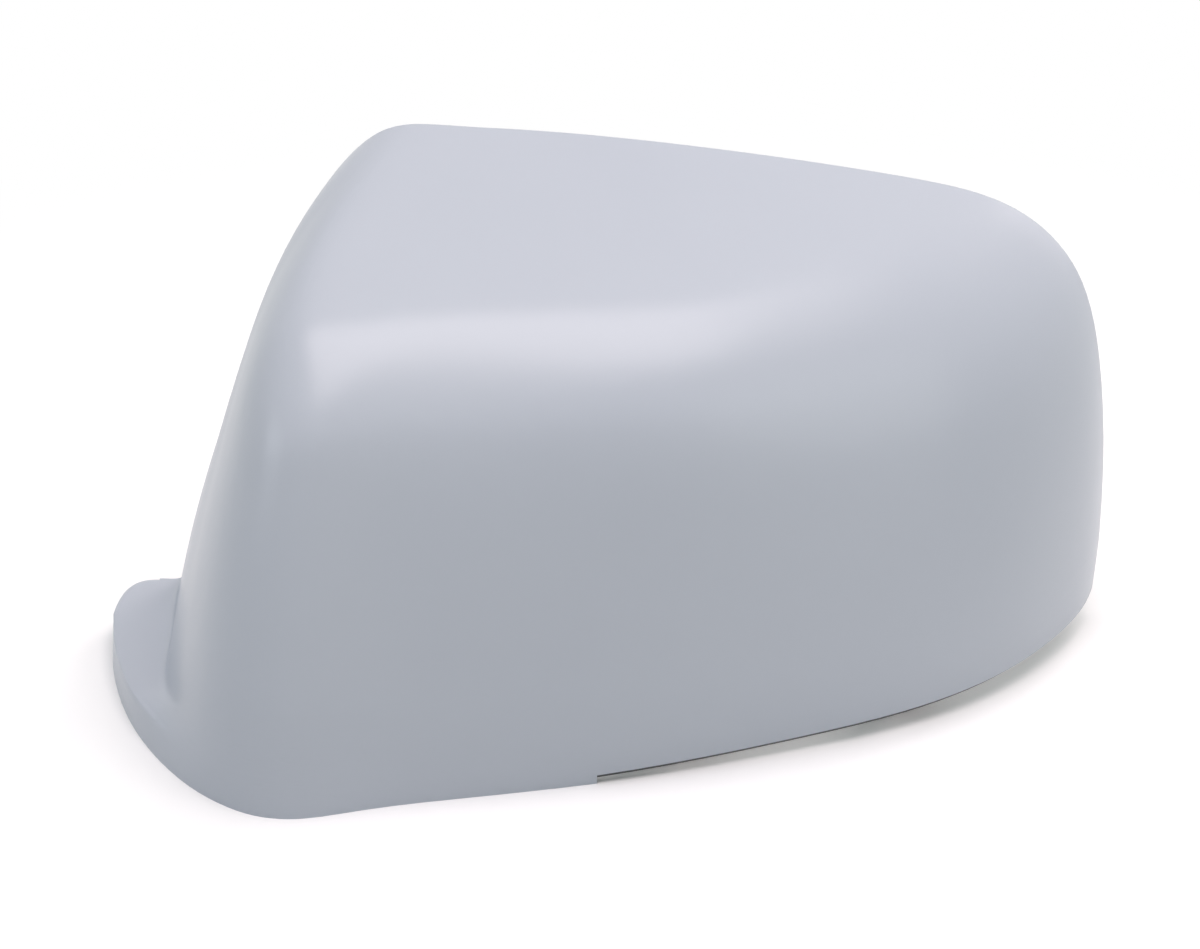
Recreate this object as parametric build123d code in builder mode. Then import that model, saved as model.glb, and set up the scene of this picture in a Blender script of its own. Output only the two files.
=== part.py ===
from build123d import *
import os
from math import atan2, degrees, hypot

os.makedirs("parts", exist_ok=True)

# Skin
wall = 2.5                # moulded thickness
rear = 49.5               # plane of the open rear, where the mirror housing meets the cover
roof_top = 135.4          # roof height at the rear, over the middle
roof_fall = 0.113         # roof slope, down towards the outboard end
roof_rake = 0.347         # roof slope, down towards the front
side_crown = 0.0006       # roof curvature from side to side, per millimetre
side_crown_x = 10.0       # where that curvature is level
front_crown = 0.0002      # roof curvature from rear to front, per millimetre

# Outline on the floor: the foot, the front corner, the front and the outboard end
base_outline = [
    (-124, 79.5), (-127, 53.5), (-127, 25.5), (-124, 9.5), (-118.5, -7.2), (-108.6, -26),
    (-94, -42.5), (-80.5, -49.2), (-60, -45.7), (-32, -39.5), (8, -30.7), (48, -18),
    (76, -6.5), (99.5, 9.5), (114, 26), (122.8, 41.5), (127.5, 59.5), (130, 79.5),
]

# Upright sections fan out from an axis behind the open rear
fan_x = -12.0
fan_back = 35.0           # from the rear plane back to the axis
fan_core = 8.0            # radius where every section starts
fan_least = 6.0           # shortest roof line of a section
section_count = 48
below_floor = 4.0         # sections run this far past the floor and are cut there

# What changes round the fan, by compass bearing from the axis
bearings = [196, 224, 242, 262, 288, 312, 345]
leans = [60, 47.5, 21, 12, 7, 10.5, 12.5]           # how far the wall leans in at the roof
roof_rounds = [56, 51, 25, 22, 25.5, 34.5, 39.5]    # where the roof starts to round over
wall_rounds = [51.5, 45, 23.5, 41.5, 41.5, 47, 46]  # where the wall has become straight again
bows = [1.5, 1.45, 1.95, 2.45, 2.95, 3.35, 3.15]    # 1 leans evenly, more keeps it upright below
tucks = [0, 0, 0, 1.9, 3.4, 3.3, 2.5]               # how far the lower edge turns back in
tuck_reach = 0.4          # share of the wall that turns in
round_bite = 0.35         # how closely the rounding follows its corner, from 0 to 1
roof_middle = 0.55        # where the spline of a section is held along the roof
wall_upper = 0.66         # and along the wall, as shares of its straight height
wall_lower = 0.36

# Foot: a flat shelf round the inboard corner, hollow underneath
shelf_bearings = [196, 210, 222, 230, 238]
shelf_widths = [17.5, 16.5, 9, 3, 0]
shelf_height = 9.5
shelf_edge = 2.0          # rounding of its outer edge
cove = 4.0                # rounding between shelf and wall
fade_from = 220           # bearing where the shelf starts to melt into the wall
fade_to = 236             # bearing where it has gone
flare_top = 22.0          # there the wall flares out to the floor from this height
flare_foot = 2.0
foot_side = -127.6        # flank of the foot at its rear corner
foot_corner = 11.0        # rounding of that corner from side to side
foot_corner_run = 27.0    # and from front to rear
run_out = 0.2             # its upper edge rounds from just above the shelf, to run out on it

# Lower edge: on the floor as far as a small step, then rising outboard with a bevel
step_x = -2.7
step_rise = 2.0
edge_slope = 0.039
edge_bevel = 1.8

# Rebate inside the rear rim, for the lip of the mirror housing
rebate_depth = 1.0
rebate_length = 2.0

# Stiffening ribs over roof and front
rib_places = [-30.0, 45.0]
rib_thickness = 1.6
rib_height = 5.0
rib_foot = 14.0           # how far above the floor they start
rib_stop = 8.0            # how far before the rear they end

# Stepped locating pins on the inside of the front, pointing rearward
pin_places = [(-55.0, 66.0, -14.0), (62.0, 56.0, 12.0)]   # across, up, where the pin ends
pin_radius = 3.0
pin_length = 14.0
pin_tip = 0.8
shoulder_radius = 5.0

# Snap hooks under the roof and on the outboard end, just inside the rear rim
roof_hooks = [-42.0, 8.0, 62.0]
end_hook_height = 52.0
end_hook_x = 119.0        # inside face of the outboard end there
hook_width = 12.0
hook_thickness = 2.5
hook_setback = 14.0
hook_drop = 15.0
hook_root = 20.0          # runs on into the skin, which cuts it off
barb = 2.4
barb_length = 4.0

# Snap hooks along the lower edge, as shares of the outline's length
lower_hooks = [0.60, 0.76]
lower_gap = 10.0          # clear space between skin and hook
web_height = 17.0         # top of the web that carries the hook
reach = 200.0             # longer than any feature, for cutting through


outline = Spline(*base_outline)
stations = [outline @ (k / (section_count - 1)) for k in range(section_count)]
fan_y = rear + fan_back


def ease(t):
    """Smooth step from 0 to 1."""
    t = min(max(t, 0), 1)
    return t * t * (3 - 2 * t)


def around(bearing, places, values):
    """Value at one bearing, on a smooth curve through the listed values that never overshoots."""
    rises = [(d - c) / (b - a) for a, b, c, d in zip(places, places[1:], values, values[1:])]
    inner = [2 * m * n / (m + n) if m * n > 0 else 0 for m, n in zip(rises, rises[1:])]
    slopes = [0] + inner + [0]
    bearing = min(max(bearing, places[0]), places[-1])
    k = max(i for i, place in enumerate(places[:-1]) if place <= bearing)
    span = places[k + 1] - places[k]
    t = (bearing - places[k]) / span
    bend = t * (1 - t) * (slopes[k] * (1 - t) - slopes[k + 1] * t)
    return values[k] + (values[k + 1] - values[k]) * ease(t) + span * bend


def roof_height(x, y):
    forward = min(y - rear, 0)
    slope = roof_top - roof_fall * x + roof_rake * (y - rear)
    return slope - side_crown * (x - side_crown_x) ** 2 - front_crown * forward ** 2


def profile(spot, inset):
    """Control points (radius, height) of one section, set in from the outer skin."""
    foot_radius = hypot(spot.X - fan_x, spot.Y - fan_y)
    ux = (spot.X - fan_x) / foot_radius
    uy = (spot.Y - fan_y) / foot_radius
    bearing = degrees(atan2(uy, ux)) % 360
    lean = around(bearing, bearings, leans)
    roof_round = around(bearing, bearings, roof_rounds) - inset
    wall_round = around(bearing, bearings, wall_rounds) - inset
    bow = around(bearing, bearings, bows)
    tuck = around(bearing, bearings, tucks)
    shelf = around(bearing, shelf_bearings, shelf_widths)
    wall_radius = foot_radius - inset - shelf + tuck
    corner = wall_radius - lean

    def on_roof(r):
        return (r, roof_height(fan_x + r * ux, fan_y + r * uy) - inset)

    top = on_roof(corner)[1]

    def on_wall(z, out=0):
        low = max(1 - z / (tuck_reach * top), 0)
        return (wall_radius - lean * (max(z, 0) / top) ** bow - tuck * low ** 2 + out, z)

    flat = max(corner - roof_round, fan_core + fan_least)
    eaves = top - wall_round
    low_wall = wall_lower * eaves
    points = [
        on_roof(fan_core),
        on_roof(fan_core + roof_middle * (flat - fan_core)),
        on_roof(flat),
        on_roof(corner - round_bite * roof_round),
        on_wall(top - round_bite * wall_round),
        on_wall(eaves),
        on_wall(wall_upper * eaves),
        on_wall(low_wall),
    ]
    # Down to the floor, over the shelf and its rim or, where the shelf has gone, straight
    shelf_top = shelf_height - inset
    lip = min(shelf_edge, shelf / 3)
    rim = shelf_top - lip
    footed = [
        on_wall(shelf_top + cove),
        on_wall(shelf_top),
        on_wall(shelf_top, shelf / 3),
        on_wall(shelf_top, shelf - lip),
        on_wall(shelf_top, shelf),
        on_wall(rim, shelf),
        on_wall((rim - below_floor) / 2, shelf),
        (on_wall(0, shelf)[0], -below_floor),
    ]
    gone = ease((bearing - fade_from) / (fade_to - fade_from))
    for k, (foot_r, foot_z) in enumerate(footed):
        z = low_wall - (low_wall + below_floor) * (k + 1) / len(footed)
        flare = min(max((flare_top - z) / (flare_top - flare_foot), 0), 1) ** 2
        r = on_wall(max(z, 0), shelf * flare)[0]
        points.append((foot_r + (r - foot_r) * gone, foot_z + (z - foot_z) * gone))
    return points


def section_plane(spot):
    """Upright plane through the fan's axis and one point of the outline."""
    run = (spot.X - fan_x, spot.Y - fan_y, 0)
    return Plane((fan_x, fan_y, 0), x_dir=run, z_dir=(run[1], -run[0], 0))


def skin_block(inset):
    """Solid under the skin, set in by some thickness, cut off at the rear and the floor."""
    with BuildPart() as block:
        for spot in stations:
            points = profile(spot, inset)
            spans = len(points) - 3
            knots = [0] * 3 + list(range(spans + 1)) + [spans] * 3
            with BuildSketch(section_plane(spot)):
                with BuildLine():
                    add(Edge.make_bspline(points, knots, 3))
                    Polyline(points[-1], (fan_core, -below_floor), points[0])
                make_face()
        loft()
        split(bisect_by=Plane.XZ.offset(-rear), keep=Keep.TOP)
        split(bisect_by=Plane.XY, keep=Keep.TOP)
        # Round the foot's rear corner, with its wall and the edge of its shelf going round
        centre = (foot_side + foot_corner, rear - foot_corner_run)
        with BuildPart(mode=Mode.PRIVATE) as corner:
            with BuildSketch():
                with Locations(centre):
                    Ellipse(max(foot_corner - inset, wall), foot_corner_run - inset)
            extrude(amount=shelf_height + run_out - inset)
            if inset < shelf_edge:
                fillet(corner.faces().sort_by(Axis.Z)[-1].edges(), shelf_edge - inset)
        with BuildPart(mode=Mode.PRIVATE) as offcut:
            with Locations(centre):
                Box(reach, reach, shelf_height + 1, align=(Align.MAX, Align.MIN, Align.MIN))
            add(corner.part, mode=Mode.SUBTRACT)
        add(offcut.part, mode=Mode.SUBTRACT)
        if inset:
            with BuildSketch():
                with Locations((foot_side + shelf_widths[0] + wall, rear - wall)):
                    Rectangle(reach, reach, align=(Align.MAX, Align.MIN))
            extrude(amount=shelf_height, mode=Mode.SUBTRACT)
    return block.part


# Side of a snap hook hanging from its root, with a sloped barb at the free end
hook_side = [
    (0, hook_root),
    (0, -hook_drop),
    (hook_thickness, -hook_drop),
    (hook_thickness + barb, barb_length - hook_drop),
    (hook_thickness, barb_length - hook_drop),
    (hook_thickness, hook_root),
]

core = skin_block(wall)
lip_block = skin_block(wall - rebate_depth)

with BuildPart() as ribs:
    for across in rib_places:
        with Locations((across, rear - rib_stop, rib_foot)):
            Box(rib_thickness, reach, reach, align=(Align.CENTER, Align.MAX, Align.MIN))
    add(skin_block(wall + rib_height), mode=Mode.SUBTRACT)

# What stands on the inside of the skin: locating pins, snap hooks and ribs, let into the wall
with BuildPart() as fixings:
    for across, up, end in pin_places:
        with BuildSketch(Plane.XZ.offset(-end)):
            with Locations((across, up)):
                Circle(pin_radius)
        extrude(amount=reach)
        chamfer(fixings.faces().sort_by(Axis.Y)[-1].edges(), pin_tip)
    for across, up, end in pin_places:
        with BuildSketch(Plane.XZ.offset(pin_length - end)):
            with Locations((across, up)):
                Circle(shoulder_radius)
        extrude(amount=reach)
    # Upper hooks
    hook_y = rear - hook_setback
    for across in roof_hooks:
        under_roof = (across, hook_y, roof_height(across, hook_y) - wall)
        with BuildSketch(Plane(under_roof, x_dir=(0, 1, 0), z_dir=(1, 0, 0))):
            with BuildLine():
                Polyline(*hook_side, close=True)
            make_face()
        extrude(amount=hook_width / 2, both=True)
    inside_end = (end_hook_x, hook_y, end_hook_height)
    with BuildSketch(Plane(inside_end, x_dir=(0, 1, 0), z_dir=(0, 0, -1))):
        with BuildLine():
            Polyline(*hook_side, close=True)
        make_face()
    extrude(amount=hook_width / 2, both=True)
    # Lower hooks, carried on a web above the edge and reaching down to the floor
    for share in lower_hooks:
        spot = outline @ share
        skin_radius = hypot(spot.X - fan_x, spot.Y - fan_y)
        back = skin_radius - wall - lower_gap - hook_thickness
        front = back + hook_thickness
        with BuildSketch(section_plane(spot)):
            with BuildLine():
                Polyline(
                    (skin_radius + lower_gap, web_height),
                    (back, web_height),
                    (back, 0),
                    (front, 0),
                    (front + barb, barb_length),
                    (front, barb_length),
                    (front, web_height - hook_thickness),
                    (skin_radius + lower_gap, web_height - hook_thickness),
                    close=True,
                )
            make_face()
        extrude(amount=hook_width / 2, both=True)
    add(ribs.part)
    add(lip_block, mode=Mode.INTERSECT)

# Rebate round the rear rim
with BuildPart() as rebate:
    add(lip_block)
    split(bisect_by=Plane.XZ.offset(rebate_length - rear), keep=Keep.BOTTOM)

with BuildPart() as cover:
    add(skin_block(0))
    # Lower edge, stepped up and rising outboard
    far_end = step_x + reach
    with BuildSketch(Plane.XZ):
        with BuildLine():
            Polyline(
                (step_x, -below_floor),
                (step_x, step_rise),
                (far_end, step_rise + edge_slope * reach),
                (far_end, -below_floor),
                close=True,
            )
        make_face()
    extrude(amount=reach, both=True, mode=Mode.SUBTRACT)
    downward = cover.faces().filter_by(GeomType.PLANE).filter_by(lambda face: face.normal_at().Z < -0.9)
    underside = downward.sort_by(Axis.Z)[-1]
    chamfer(underside.edges().filter_by(GeomType.LINE, reverse=True), edge_bevel)
    add(core, mode=Mode.SUBTRACT)
    add(rebate.part, mode=Mode.SUBTRACT)
    add(fixings.part)

cover.part.label = "mirror_cover"
export_step(cover.part, "parts/mirror_cover.step", write_pcurves=False)
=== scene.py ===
from math import cos, radians, sin

import bmesh
import bpy
import numpy as np
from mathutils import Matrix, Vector


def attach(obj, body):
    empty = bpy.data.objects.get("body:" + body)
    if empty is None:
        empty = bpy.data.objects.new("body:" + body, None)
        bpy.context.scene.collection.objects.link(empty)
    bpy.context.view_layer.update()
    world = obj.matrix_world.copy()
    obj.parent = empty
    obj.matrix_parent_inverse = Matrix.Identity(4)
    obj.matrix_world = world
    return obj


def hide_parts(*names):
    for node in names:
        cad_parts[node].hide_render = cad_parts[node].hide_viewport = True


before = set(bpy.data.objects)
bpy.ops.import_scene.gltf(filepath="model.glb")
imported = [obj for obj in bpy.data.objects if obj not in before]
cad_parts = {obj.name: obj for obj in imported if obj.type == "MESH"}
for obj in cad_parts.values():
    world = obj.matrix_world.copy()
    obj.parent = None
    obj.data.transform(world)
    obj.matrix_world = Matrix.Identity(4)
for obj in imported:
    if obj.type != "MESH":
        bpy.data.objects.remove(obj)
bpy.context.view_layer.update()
scene = bpy.context.scene
mm = 0.001

# The cover is one thin shell, injection moulded in black ABS and sprayed on the outside with
# a grey primer. The clips, pins and ribs behind it belong to the same moulding and stay bare.
WELD = 0.002 * mm           # corners nearer to each other than this are one
CREASE = radians(28)        # a sharper turn than this is an edge of the moulding
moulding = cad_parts["mirror_cover"]


def merged_copy(source, name):
    """Copy of a CAD node with its loose triangles joined, shaded smooth between its creases."""
    mesh = source.data.copy()
    mesh.name = name
    joined = bmesh.new()
    joined.from_mesh(mesh)
    bmesh.ops.remove_doubles(joined, verts=joined.verts, dist=WELD)
    joined.to_mesh(mesh)
    joined.free()
    mesh.attributes.remove(mesh.attributes["custom_normal"])
    piece = bpy.data.objects.new(name, mesh)
    scene.collection.objects.link(piece)
    mesh.set_sharp_from_angle(angle=CREASE)
    return piece


def read(collection, field, shape, kind=np.float32):
    """One property of a mesh's parts as an array of rows."""
    values = np.empty(len(collection) * int(np.prod(shape)), kind)
    collection.foreach_get(field, values)
    return values.reshape(-1, *shape)


cover = merged_copy(moulding, "cover_shell")

# Shoulder: the long bend of the skin from the roof down to the front. It is wide and soft over
# the inboard half, and tightens again towards both ends.
SOFTENING = 1.4 * mm                        # how far the skin is let in along the bend
INWARD = np.array([0, 1, -1]) * np.sqrt(0.5)
BEND = 17 * mm                              # half width of the part that is let in
INBOARD = np.array([-104, -72]) * mm        # the softening grows from none to full here
OUTBOARD = np.array([-20, 75]) * mm         # and dies out here
LEAN = 45                                   # degrees that the skin leans on the bend's line
LEAN_SPREAD = 6                             # degrees either way that count as on the line
SIDEWAYS = 0.4                              # most that a normal there points to either side
BELOW_BEND = 60 * mm                        # the bend is all above this height


def ease(t):
    """Smooth step from 0 to 1."""
    t = np.clip(t, 0, 1)
    return t * t * (3 - 2 * t)


def softer_shoulder(point, normal):
    """Lets points in by the square of one less the square of their distance from the bend's line,
    as a share of the half width. The line is a cubic along X through the points where the skin
    leans 45 degrees."""
    x = point[:, 0]
    lean = np.degrees(np.arctan2(normal[:, 2], -normal[:, 1]))
    line = (np.abs(lean - LEAN) < LEAN_SPREAD) & (np.abs(normal[:, 0]) < SIDEWAYS)
    line &= (point[:, 2] > BELOW_BEND) & (x > INBOARD[0]) & (x < OUTBOARD[1])
    bend = np.polynomial.polynomial.polyfit(x[line] / mm, point[line, 1:], 3)
    spot = np.polynomial.polynomial.polyval(x / mm, bend).T
    share = np.clip(np.hypot(*(point[:, 1:] - spot).T) / BEND, 0, 1)
    grown = ease((x - INBOARD[0]) / np.ptp(INBOARD))
    along = grown * (1 - ease((x - OUTBOARD[0]) / np.ptp(OUTBOARD)))
    let_in = SOFTENING * along * (1 - share ** 2) ** 2
    return point + let_in[:, None] * INWARD


# Foot: the low toe at the inboard end, moulded in one with the skin. Its rear corner is a full,
# squarish curve that leaves the flank without a break, its shelf rises a little to the rear, and
# the shelf's edge is crisp.
CORNER = np.array([-116.6, 22.5]) * mm      # where the curve's two half axes meet
FLANK = 10.6 * mm                           # half axis out to the foot's flank
CUT = 11.0 * mm                             # half axis of the moulding's plain ellipse
RUN = 27.0 * mm                             # half axis back to the rear plane
FULLNESS = 2.9                              # power of the curve, 2 is an ellipse
SHELF = 9.5 * mm
SHELF_RISE = 1.0 * mm
ROUNDING = 2.0 * mm                         # of the shelf's edge in the moulding
CRISP = 0.85                                # share of that rounding taken away
EDGE_BLEND = 0.6 * mm                       # how far below the rounding the wall takes part
BODY = -102 * mm                            # the foot's changes have died out here
WALL_CLEAR = 24 * mm                        # above this the wall keeps its height


def finer_foot(point):
    """Moves each point away from the corner's centre in the ratio of the full curve's radius to
    the plain ellipse's in its direction, draws the rounded edge up to the shelf, and lifts the
    shelf in step with how far back it is."""
    across, back = (CORNER[0] - point[:, 0]) / CUT, (point[:, 1] - CORNER[1]) / RUN
    turn = np.arctan2(back, across)
    c, s = np.cos(turn), np.sin(turn)
    flat = FLANK / CUT
    plain = np.minimum(1, flat / np.maximum(c, flat))
    full = ((np.abs(c) / flat) ** FULLNESS + np.abs(s) ** FULLNESS) ** (-1 / FULLNESS)
    low = 1 - ease((point[:, 2] - SHELF) / (WALL_CLEAR - SHELF))
    there = (across > 0) & (back > 0)
    grow = np.where(there, (full / plain - 1) * low, 0)[:, None]
    beside = ease((BODY - point[:, 0]) / (BODY - CORNER[0]))
    below = np.clip((SHELF - point[:, 2]) / ROUNDING, 0, 1)
    upper = np.clip((point[:, 2] - SHELF + ROUNDING) / EDGE_BLEND + 1, 0, 1)
    moved = point.copy()
    moved[:, :2] += (point[:, :2] - CORNER) * grow
    moved[:, 2] += CRISP * ROUNDING * below * beside * upper
    moved[:, 2] += SHELF_RISE * ease(back) * beside * low * np.clip(point[:, 2] / SHELF, 0, 1)
    return moved


# Lower edge: the skin's free edge along the bottom. Outboard of the small step it runs close over
# the floor, nearer than the moulding.
STEP = -2.7 * mm
STEP_RISE = 2.0 * mm
EDGE_DROP = 1.25 * mm
STEP_BLEND = 25 * mm        # how far inboard of the step the skin takes part
SKIN_BLEND = 26 * mm        # and how far up


def lower_edge(point):
    """Lets the points down, most at the edge itself, and none on the floor or high on the skin."""
    outboard = ease((point[:, 0] - STEP + STEP_BLEND) / STEP_BLEND)
    off_floor = np.clip(point[:, 2] / STEP_RISE, 0, 1)
    near_edge = 1 - ease((point[:, 2] - STEP_RISE) / SKIN_BLEND)
    moved = point.copy()
    moved[:, 2] -= EDGE_DROP * outboard * off_floor * near_edge
    return moved


plain_moulding = read(cover.data.vertices, "co", (3,)).astype(np.float64)
soft_skin = softer_shoulder(plain_moulding, read(cover.data.vertices, "normal", (3,)))
shaped = lower_edge(finer_foot(soft_skin))
cover.data.vertices.foreach_set("co", shaped.astype(np.float32).ravel())
cover.data.update()

# Reach of the spray: the primer lies on the outside of the skin, as far as its creases, and on
# the flat of the rear rim. All other faces of the moulding are bare.
REAR_RIM = 49.5 * mm        # plane of the open rear
RIM_DEPTH = 0.1 * mm        # faces within this of that plane are the rim's
REARWARD = 0.9              # least that the normal of such a face points to the rear


def smooth_patches(mesh, crease):
    """Label of the smooth patch each triangle is in: faces that meet across an edge turning
    less than the crease angle take the lower of their labels, until none changes."""
    corners = read(mesh.loops, "edge_index", (), np.int32).reshape(-1, 3)
    normals = read(mesh.polygons, "normal", (3,))
    order = np.argsort(corners.ravel(), kind="stable")
    edge = corners.ravel()[order]
    face = order // 3
    pair = np.flatnonzero(edge[1:] == edge[:-1])
    a, b = face[pair], face[pair + 1]
    soft = (normals[a] * normals[b]).sum(1) > np.cos(crease)
    a, b = a[soft], b[soft]
    label = np.arange(len(corners))
    while True:
        lower = label.copy()
        np.minimum.at(lower, a, label[b])
        np.minimum.at(lower, b, label[a])
        lower = lower[lower]
        if (lower == label).all():
            return label
        label = lower


patch = smooth_patches(cover.data, CREASE)
centre = read(cover.data.polygons, "center", (3,))
facing = read(cover.data.polygons, "normal", (3,))
outside = patch == patch[centre[:, 2].argmax()]
rim = (facing[:, 1] > REARWARD) & (centre[:, 1] > REAR_RIM - RIM_DEPTH)
bare = ~(outside | rim)

# Grey primer: a satin sprayed coat. Fine orange peel softens every reflection, broad spray
# passes vary tone and sheen by a hair, and a few dust nibs were caught as it dried.
SPRAY_PASS = 70 * mm        # width of one pass of the gun
WET, DRY = 0.27, 0.33       # roughness where the coat went on wettest and driest
PEEL = 1.1 * mm             # spacing of the orange peel
PEEL_DEPTH = 0.1 * mm
DUST = 5 * mm               # spacing of the nibs
NIB = 0.05                  # radius of a nib as a share of that
NIB_HEIGHT = 0.04 * mm


def linear(code):
    """sRGB hex colour as linear red, green, blue and alpha."""
    part = np.array([int(code[k:k + 2], 16) for k in (1, 3, 5)]) / 255
    part = np.where(part <= 0.04045, part / 12.92, ((part + 0.055) / 1.055) ** 2.4)
    return (*part.tolist(), 1.0)


def node(tree, kind, settings=None, **inputs):
    """Adds one node: settings are its own properties, inputs are values or sockets to link. An
    input goes by its name, or by an underscore and its number."""
    made = tree.nodes.new(kind)
    for name, value in (settings or {}).items():
        setattr(made, name, value)
    for name, value in inputs.items():
        socket = made.inputs[int(name[1:]) if name[1:].isdigit() else name.replace("_", " ")]
        if isinstance(value, bpy.types.NodeSocket):
            tree.links.new(value, socket)
        else:
            socket.default_value = value
    return made


def new_finish(name):
    """Empty material, with the node tree that its finish is built in."""
    finish = bpy.data.materials.new(name)
    finish.use_nodes = True
    finish.node_tree.nodes.clear()
    return finish, finish.node_tree


PRIMER = linear("#c0c5cf")
PRIMER_DEEP = linear("#bbc0cb")
primer, tree = new_finish("satin_grey_primer")
place = node(tree, "ShaderNodeTexCoord").outputs["Object"]
passes = node(tree, "ShaderNodeTexNoise", Vector=place, Scale=1 / SPRAY_PASS, Detail=2.0)
tone = node(
    tree, "ShaderNodeMix", {"data_type": "RGBA"},
    _0=passes.outputs["Fac"], _6=PRIMER_DEEP, _7=PRIMER,
)
sheen = node(tree, "ShaderNodeMapRange", Value=passes.outputs["Fac"], To_Min=WET, To_Max=DRY)
peel = node(tree, "ShaderNodeTexNoise", Vector=place, Scale=1 / PEEL, Detail=2.0)
relief = node(
    tree, "ShaderNodeBump", Strength=0.04, Distance=PEEL_DEPTH, Height=peel.outputs["Fac"],
)
dust = node(tree, "ShaderNodeTexVoronoi", Vector=place, Scale=1 / DUST)
nib = node(
    tree, "ShaderNodeMapRange",
    Value=dust.outputs["Distance"], From_Max=NIB, To_Min=1.0, To_Max=0.0,
)
relief = node(
    tree, "ShaderNodeBump",
    Strength=0.5, Distance=NIB_HEIGHT, Height=nib.outputs[0], Normal=relief.outputs[0],
)
coat = node(
    tree, "ShaderNodeBsdfPrincipled", Base_Color=tone.outputs[2], Roughness=sheen.outputs[0],
    IOR=1.5, Normal=relief.outputs[0],
)
node(tree, "ShaderNodeOutputMaterial", Surface=coat.outputs[0])

# Bare ABS: black, with the fine even grain that the mould's spark-eroded core leaves on it. Near
# the open rear a thin speckle of primer has drifted in over the rim. Grain and speckle are finer
# on the real moulding, and are drawn coarser here so that they show.
ABS = linear("#2b2d30")
GRAIN = 0.6 * mm
GRAIN_DEPTH = 0.1 * mm
SPECK = 0.4 * mm
DRIFT = 9 * mm                      # how far in the speckle reaches
THICKEST = 0.7                      # strength of the speckle at the rim itself
SHINY, DUSTED = 0.5, 0.8            # roughness of the clean plastic and under full speckle
bare_abs, tree = new_finish("moulded_black_abs")
place = node(tree, "ShaderNodeTexCoord").outputs["Object"]
grain = node(tree, "ShaderNodeTexNoise", Vector=place, Scale=1 / GRAIN, Detail=2.0)
relief = node(
    tree, "ShaderNodeBump", Strength=0.15, Distance=GRAIN_DEPTH, Height=grain.outputs["Fac"],
)
depth = node(tree, "ShaderNodeSeparateXYZ", Vector=place).outputs["Y"]
drift = node(
    tree, "ShaderNodeMapRange", {"interpolation_type": "SMOOTHSTEP"},
    Value=depth, From_Min=REAR_RIM - DRIFT, From_Max=REAR_RIM, To_Max=THICKEST,
)
speckle = node(tree, "ShaderNodeTexNoise", Vector=place, Scale=1 / SPECK, Detail=3.0)
mist = node(
    tree, "ShaderNodeMath", {"operation": "MULTIPLY"},
    _0=drift.outputs[0], _1=speckle.outputs["Fac"],
)
tone = node(
    tree, "ShaderNodeMix", {"data_type": "RGBA"}, _0=mist.outputs[0], _6=ABS, _7=PRIMER,
)
sheen = node(tree, "ShaderNodeMapRange", Value=mist.outputs[0], To_Min=SHINY, To_Max=DUSTED)
resin = node(
    tree, "ShaderNodeBsdfPrincipled", Base_Color=tone.outputs[2], Roughness=sheen.outputs[0],
    IOR=1.54, Normal=relief.outputs[0],
)
node(tree, "ShaderNodeOutputMaterial", Surface=resin.outputs[0])

cover.data.materials.clear()
cover.data.materials.append(primer)
cover.data.materials.append(bare_abs)
cover.data.polygons.foreach_set("material_index", bare.astype(np.int32))
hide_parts("mirror_cover")
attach(cover, "root")

# Table: a sheet of white paper, seamless to the horizon. Close by it shows the cover's shadow from
# the lamps and a painted contact shadow, and further off it runs out to pure white.
TABLE_SPAN = 8.0
FILL = 0.25                         # glow that keeps the paper white as it is seen
PAINTED_SHADOW_REACH = 24 * mm                   # how far from the cover that glow is held back, as a painted contact shadow
SHADOWS = 150 * mm                  # the paper shows its shadows as far as this
WHITE_OUT = 380 * mm                # and is pure white from here


def seen_rays(tree):
    """1 for what the camera sees, also by reflection or through glass, and 0 for lighting."""
    ray = node(tree, "ShaderNodeLightPath")
    direct = node(
        tree, "ShaderNodeMath", {"operation": "MAXIMUM"},
        _0=ray.outputs["Is Camera Ray"], _1=ray.outputs["Is Glossy Ray"],
    )
    both = node(
        tree, "ShaderNodeMath", {"operation": "MAXIMUM"},
        _0=direct.outputs[0], _1=ray.outputs["Is Transmission Ray"],
    )
    return both.outputs[0]


paper, tree = new_finish("white_paper")
sheet = node(tree, "ShaderNodeBsdfDiffuse", Color=linear("#e0e0e0"))
bright = node(tree, "ShaderNodeBsdfDiffuse", Color=linear("#f2f0f1"))
# Painted contact shadow: near the cover, ambient occlusion dims the paper's glow.
painted_contact_shadow = node(tree, "ShaderNodeAmbientOcclusion", {"samples": 16}, Distance=PAINTED_SHADOW_REACH)
painted_shadow_glow = node(
    tree, "ShaderNodeMath", {"operation": "MULTIPLY"}, _0=painted_contact_shadow.outputs["AO"], _1=FILL,
)
glow = node(tree, "ShaderNodeEmission", Color=(1, 1, 1, 1), Strength=painted_shadow_glow.outputs[0])
close = node(tree, "ShaderNodeAddShader", _0=bright.outputs[0], _1=glow.outputs[0])
horizon = node(tree, "ShaderNodeEmission", Color=(1, 1, 1, 1), Strength=1.0)
place = node(tree, "ShaderNodeTexCoord").outputs["Object"]
away = node(tree, "ShaderNodeVectorMath", {"operation": "LENGTH"}, _0=place).outputs["Value"]
far = node(
    tree, "ShaderNodeMapRange", {"interpolation_type": "SMOOTHSTEP"},
    Value=away, From_Min=SHADOWS, From_Max=WHITE_OUT,
)
seen = node(
    tree, "ShaderNodeMixShader", _0=far.outputs[0], _1=close.outputs[0], _2=horizon.outputs[0],
)
shown = node(
    tree, "ShaderNodeMixShader", _0=seen_rays(tree), _1=sheet.outputs[0], _2=seen.outputs[0],
)
node(tree, "ShaderNodeOutputMaterial", Surface=shown.outputs[0])
half = TABLE_SPAN / 2
mesh = bpy.data.meshes.new("table")
mesh.from_pydata(
    [(-half, -half, 0), (half, -half, 0), (half, half, 0), (-half, half, 0)], [], [(0, 1, 2, 3)],
)
table = bpy.data.objects.new("table", mesh)
scene.collection.objects.link(table)
mesh.materials.append(paper)

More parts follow.
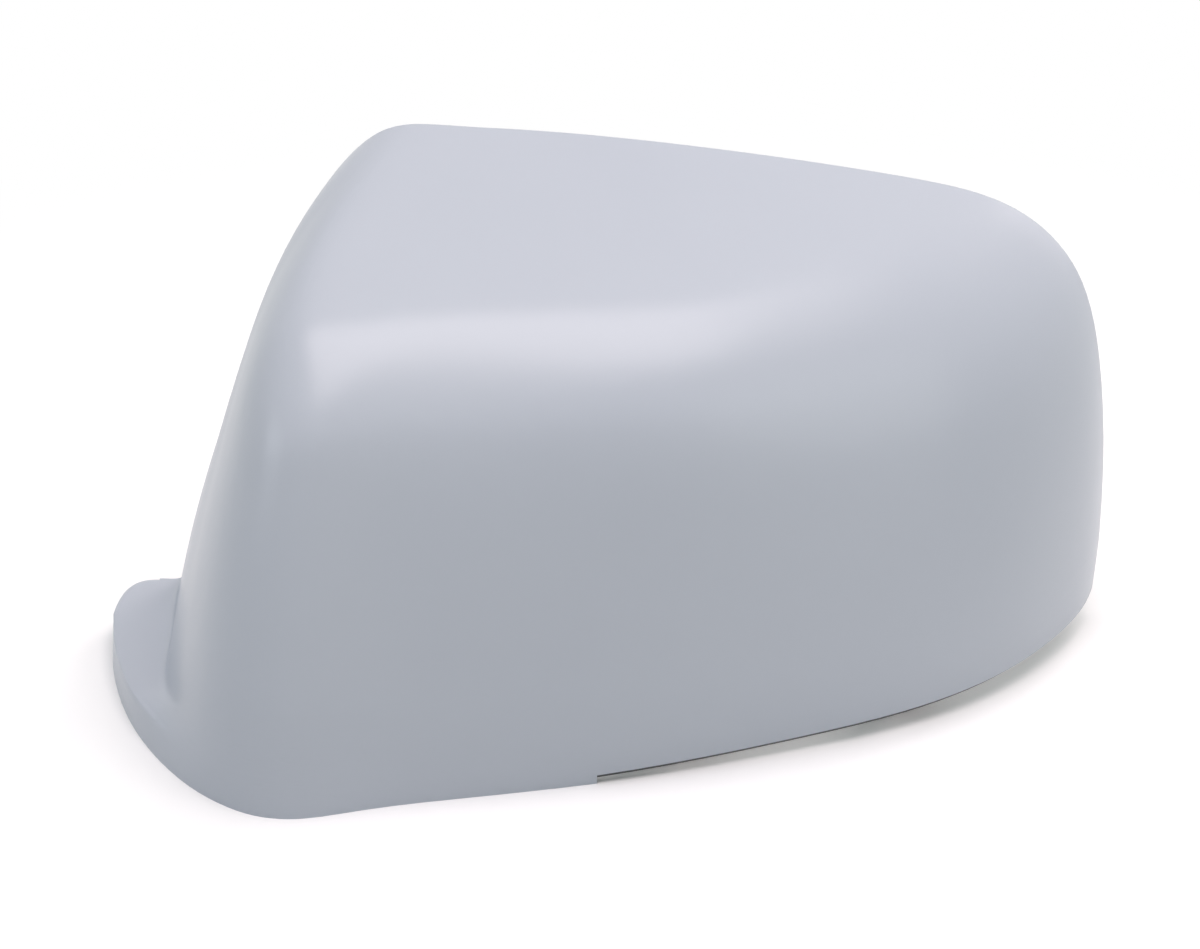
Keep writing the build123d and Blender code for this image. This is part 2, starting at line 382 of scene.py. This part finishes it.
# Studio: a white surround, a large softbox overhead for the roof and its highlight, a weak one at
# the left for the flank, and two at the right that bring out the outboard end.
AIM = Vector((-2, 14, 60)) * mm
surround = bpy.data.worlds.new("studio")
scene.world = surround
surround.use_nodes = True
tree = surround.node_tree
tree.nodes.clear()
lit = node(tree, "ShaderNodeBackground", Color=linear("#e6fffb"), Strength=0.22)
white = node(tree, "ShaderNodeBackground", Color=(1, 1, 1, 1), Strength=1.0)
shown = node(
    tree, "ShaderNodeMixShader", _0=seen_rays(tree), _1=lit.outputs[0], _2=white.outputs[0],
)
node(tree, "ShaderNodeOutputWorld", Surface=shown.outputs[0])


def softbox(name, spot, width, height, watts, colour):
    """Rectangular lamp at a spot, in metres, turned towards the cover."""
    lamp = bpy.data.lights.new(name, "AREA")
    lamp.shape = "RECTANGLE"
    lamp.size = width
    lamp.size_y = height
    lamp.energy = watts
    lamp.color = linear(colour)[:3]
    holder = bpy.data.objects.new(name, lamp)
    holder.location = spot
    holder.rotation_euler = (AIM - Vector(spot)).to_track_quat("-Z", "Y").to_euler()
    scene.collection.objects.link(holder)


softbox("overhead_softbox", (0.07, -0.2, 1.2), 1.1, 0.85, 12.6, "#fff5f6")
softbox("left_softbox", (-0.9, -0.3, 0.22), 0.5, 0.3, 0.95, "#f4f8ff")
softbox("right_rear_softbox", (0.7, 0.8, 0.5), 0.6, 0.7, 6.0, "#fff4f2")
softbox("right_front_softbox", (0.87, -0.65, 0.4), 0.6, 0.75, 1.4, "#fbfffd")

# Camera: square on to the front, as the photograph's own was, about a metre away and well above
# the cover, with a long lens.
DISTANCE = 1.0
ELEVATION = radians(28)
camera = bpy.data.cameras.new("camera")
camera.sensor_width = 36
camera.lens = 121.5
camera.clip_start = 0.01
viewer = bpy.data.objects.new("camera", camera)
viewer.location = AIM + DISTANCE * Vector((0, -cos(ELEVATION), sin(ELEVATION)))
viewer.rotation_euler = (radians(90) - ELEVATION, 0, 0)
scene.collection.objects.link(viewer)
scene.camera = viewer

scene.view_settings.view_transform = "Standard"
